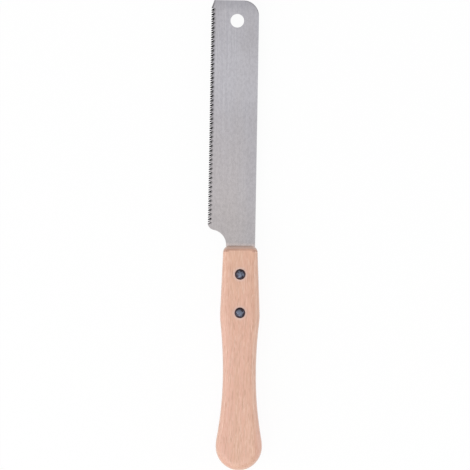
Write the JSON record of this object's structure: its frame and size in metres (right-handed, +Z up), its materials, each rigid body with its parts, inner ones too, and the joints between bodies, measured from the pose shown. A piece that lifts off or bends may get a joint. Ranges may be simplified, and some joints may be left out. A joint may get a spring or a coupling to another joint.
{
  "type": "flush cut saw",
  "caption": "Flush cut hand saw with a thin flat toothed steel blade riveted into the kerf of a shaped beech handle, and a hanging hole near the toe.",
  "frame": {"origin": "on the flat back face of the handle, on the handle's centre line, midway between the two rivets", "axes": "+Z up out of the front face, +Y along the handle towards the toe of the blade, -X towards the toothed edge"},
  "size_m": [0.0346, 0.2897, 0.0199],
  "materials": {
    "blade_steel": "satin, ground lengthwise, with hardened darker teeth",
    "beech": "fine lengthwise grain, clear satin lacquer",
    "rivet_steel": "blued, dark"
  },
  "bodies": {
    "root": {"blade": "blade_steel", "handle": "beech", "front_rivet": "rivet_steel", "rear_rivet": "rivet_steel", "front_washer": "rivet_steel", "rear_washer": "rivet_steel"}
  },
  "joints": []
}
